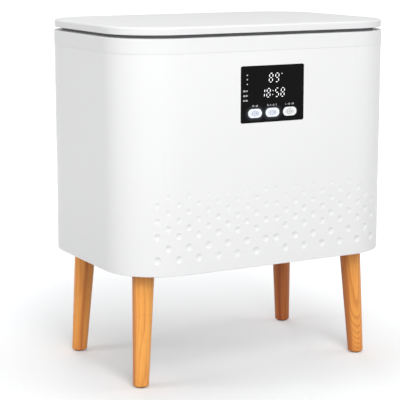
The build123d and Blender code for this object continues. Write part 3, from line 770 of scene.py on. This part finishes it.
def crossScrew():
    deselect()
    bpy.ops.mesh.primitive_cylinder_add(
        vertices=screw["sides"], radius=screw["radius"], depth=screw["rise"],
        location=(0, 0, screw["rise"] / 2),
    )
    head = settle(bpy.context.object)
    bpy.ops.object.mode_set(mode="EDIT")
    bpy.ops.mesh.select_all(action="DESELECT")
    bpy.ops.object.mode_set(mode="OBJECT")
    for face in head.data.polygons:
        face.select = face.normal.z > 0.5
    bpy.ops.object.mode_set(mode="EDIT")
    bpy.ops.mesh.bevel(offset=screw["rise"] * screw["roundness"], segments=5, affect="EDGES")
    bpy.ops.object.mode_set(mode="OBJECT")
    for turn in (0, math.pi / 2):
        deselect()
        bpy.ops.mesh.primitive_cube_add(size=1.0, location=(0, 0, screw["rise"]))
        cutter = bpy.context.object
        cutter.scale = (screw["recessLength"], screw["recessWidth"], screw["rise"])
        cutter.rotation_euler.z = turn
        settle(cutter)
        recess = head.modifiers.new("recess", "BOOLEAN")
        recess.operation = "DIFFERENCE"
        recess.object = cutter
        recess.solver = "EXACT"
        bpy.context.view_layer.objects.active = head
        bpy.ops.object.modifier_apply(modifier="recess")
        bpy.data.objects.remove(cutter)
    deselect()
    head.select_set(True)
    bpy.ops.object.shade_smooth_by_angle(angle=math.radians(screw["smoothAngle"]))
    return head


def screwPlaces(node, axis, towards):
    # middles of the outer end faces of each loose solid in a screw node
    vertices = nodes[node].data.vertices
    end = max(towards * vertex.co[axis] for vertex in vertices)
    rim = [vertex.co for vertex in vertices if towards * vertex.co[axis] > end - screw["endBand"]]
    groups = []
    for spot in rim:
        for group in groups:
            if (group[0] - spot).length < screw["spread"] * screw["radius"]:
                group.append(spot)
                break
        else:
            groups.append([spot])
    middles = []
    for group in groups:
        lows = [min(spot[k] for spot in group) for k in range(3)]
        highs = [max(spot[k] for spot in group) for k in range(3)]
        middles.append(Vector([(low + high) / 2 for low, high in zip(lows, highs)]))
    return middles


screwSets = {  # axis and side that the heads face, and the body that they ride
    "bracket_screws": (1, 1, "chassis"),
    "base_screws": (2, -1, "chassis"),
    "leg_plate_screws": (2, -1, "chassis"),
    "leaf_screws": (2, -1, "lid"),
}
masterScrew = crossScrew()
for node, (axis, towards, body) in screwSets.items():
    copies = []
    face = Matrix.Rotation(-math.pi / 2 if axis == 1 else math.pi, 4, "X")
    back = Vector((0, 0, 0))
    back[axis] = -towards * screw["rise"]
    for index, spot in enumerate(screwPlaces(node, axis, towards)):
        head = masterScrew.copy()
        head.data = masterScrew.data.copy()
        bpy.context.collection.objects.link(head)
        turn = Matrix.Rotation(screw["firstTurn"] + screw["nextTurn"] * index, 4, "Z")
        head.data.transform(Matrix.Translation(spot + back) @ face @ turn)
        copies.append(head)
    heads = finishPiece(joined(copies, f"{node}_heads"), finishes["zincPlate"], body)
    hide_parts(node)
    print(node, len(copies))
bpy.data.objects.remove(masterScrew)


# Staging: camera, floor and lamps
stage = {
    "cameraBack": (-0.503, 0.181, 2.108207),  # turn and tilt in radians, distance
    "cameraAim": (-0.01635, 0.023035, 0.224298),
    "lens": 129.73,
    "sensor": 36.0,
    "worldLight": 0.34,
    "floorSize": 60.0,
    "floorBounce": (0.36, 0.36, 0.36),
    "floorWhite": (0.864, 0.876, 0.887),
    # the floor's painted glow grows from this middle out to this reach, leaving painted shade near the
    # middle
    "glowMiddle": (-0.10, -0.05),
    "glowReach": 1.60,
    "mirrored": ("above",),  # lamps seen in reflections: the others would whiten the lid at a low angle
}
softBoxes = {  # place of each lamp and the point it faces in metres, side in metres, watts
    "front": {"place": (-0.60, -1.95, 0.90), "aim": (0.0, -0.1, 0.36), "side": 1.1, "power": 17.8},
    "frontHigh": {"place": (-0.45, -1.60, 1.60), "aim": (0.0, -0.1, 0.36), "side": 1.0, "power": 16.0},
    "above": {"place": (0.05, 0.75, 1.95), "aim": (0.0, 0.0, 0.3), "side": 1.5, "power": 2.4},
    "left": {"place": (-1.9, 0.35, 0.9), "aim": (-0.2, 0.0, 0.3), "side": 1.0, "power": 11.2},
    "right": {"place": (1.9, -0.7, 1.0), "aim": (0.2, 0.0, 0.3), "side": 1.2, "power": 6.0},
    "rear": {"place": (0.3, 1.95, 0.85), "aim": (0.0, 0.1, 0.3), "side": 1.3, "power": 12.0},
}


def setCamera():
    turn, tilt, distance = stage["cameraBack"]
    level = math.cos(tilt)
    back = Vector((math.sin(turn) * level, -math.cos(turn) * level, math.sin(tilt)))
    camera = bpy.data.cameras.new("camera")
    camera.lens = stage["lens"]
    camera.sensor_width = stage["sensor"]
    cameraObject = bpy.data.objects.new("camera", camera)
    cameraObject.location = Vector(stage["cameraAim"]) + distance * back
    cameraObject.rotation_euler = (math.pi / 2 - tilt, 0.0, turn)
    bpy.context.collection.objects.link(cameraObject)
    bpy.context.scene.camera = cameraObject


def setLamp(name, place, aim, side, power):
    light = bpy.data.lights.new(name, "AREA")
    light.size = side
    light.energy = power
    lightObject = bpy.data.objects.new(name, light)
    lightObject.location = place
    lightObject.rotation_euler = (Vector(aim) - Vector(place)).to_track_quat("-Z", "Y").to_euler()
    bpy.context.collection.objects.link(lightObject)
    lightObject.visible_glossy = name in stage["mirrored"]


def setWorld():
    # white where it is seen straight, mirrored or through glass, and a soft light otherwise
    world = bpy.data.worlds.new("studio")
    world.use_nodes = True
    bpy.context.scene.world = world
    tree = world.node_tree
    background = tree.nodes["Background"]
    background.inputs["Color"].default_value = (1.0, 1.0, 1.0, 1.0)
    rays = tree.nodes.new("ShaderNodeLightPath").outputs
    seen = rays["Is Camera Ray"]
    for kind in ("Is Glossy Ray", "Is Transmission Ray"):
        either = tree.nodes.new("ShaderNodeMath")
        either.operation = "MAXIMUM"
        tree.links.new(seen, either.inputs[0])
        tree.links.new(rays[kind], either.inputs[1])
        seen = either.outputs[0]
    strength = tree.nodes.new("ShaderNodeMapRange")
    strength.inputs["To Min"].default_value = stage["worldLight"]
    strength.inputs["To Max"].default_value = 1.0
    tree.links.new(seen, strength.inputs["Value"])
    tree.links.new(strength.outputs["Result"], background.inputs["Strength"])


def palePaper():
    # pale where it is seen, darker in the light it throws back, with a painted glow that whitens it away
    # from the object and fades out near it, a painted shade round the object
    surface = Surface("palePaper", Roughness=0.9, Specular_IOR_Level=0.1)
    seen = surface.node("ShaderNodeLightPath", output="Is Camera Ray")
    rays = seen.socket.node.outputs
    for kind in ("Is Glossy Ray", "Is Transmission Ray"):
        seen = seen.sum("MAXIMUM", Level(surface, rays[kind]))
    surface.set("Base Color", surface.mix(seen, stage["floorBounce"], stage["floorWhite"]))
    glowX, glowY = stage["glowMiddle"]
    x, y, _ = surface.axes(surface.place(move=(-glowX, -glowY, 0.0)))
    # painted shade: the floor's glow fades out towards the object
    away = ((x * x + y * y).sum("SQRT") / stage["glowReach"]).limit()
    surface.glow(surface.mix(seen, (0, 0, 0), surface.mix(away, (0, 0, 0), (1, 1, 1))))
    return surface


setCamera()
for name, lamp in softBoxes.items():
    setLamp(name, **lamp)
setWorld()
deselect()
bpy.ops.mesh.primitive_plane_add(size=stage["floorSize"])
floor = bpy.context.object
floor.name = "floor"
dress(floor, palePaper())

view = bpy.context.scene.view_settings
view.view_transform = "Standard"
print("staging")

bpy.context.view_layer.update()
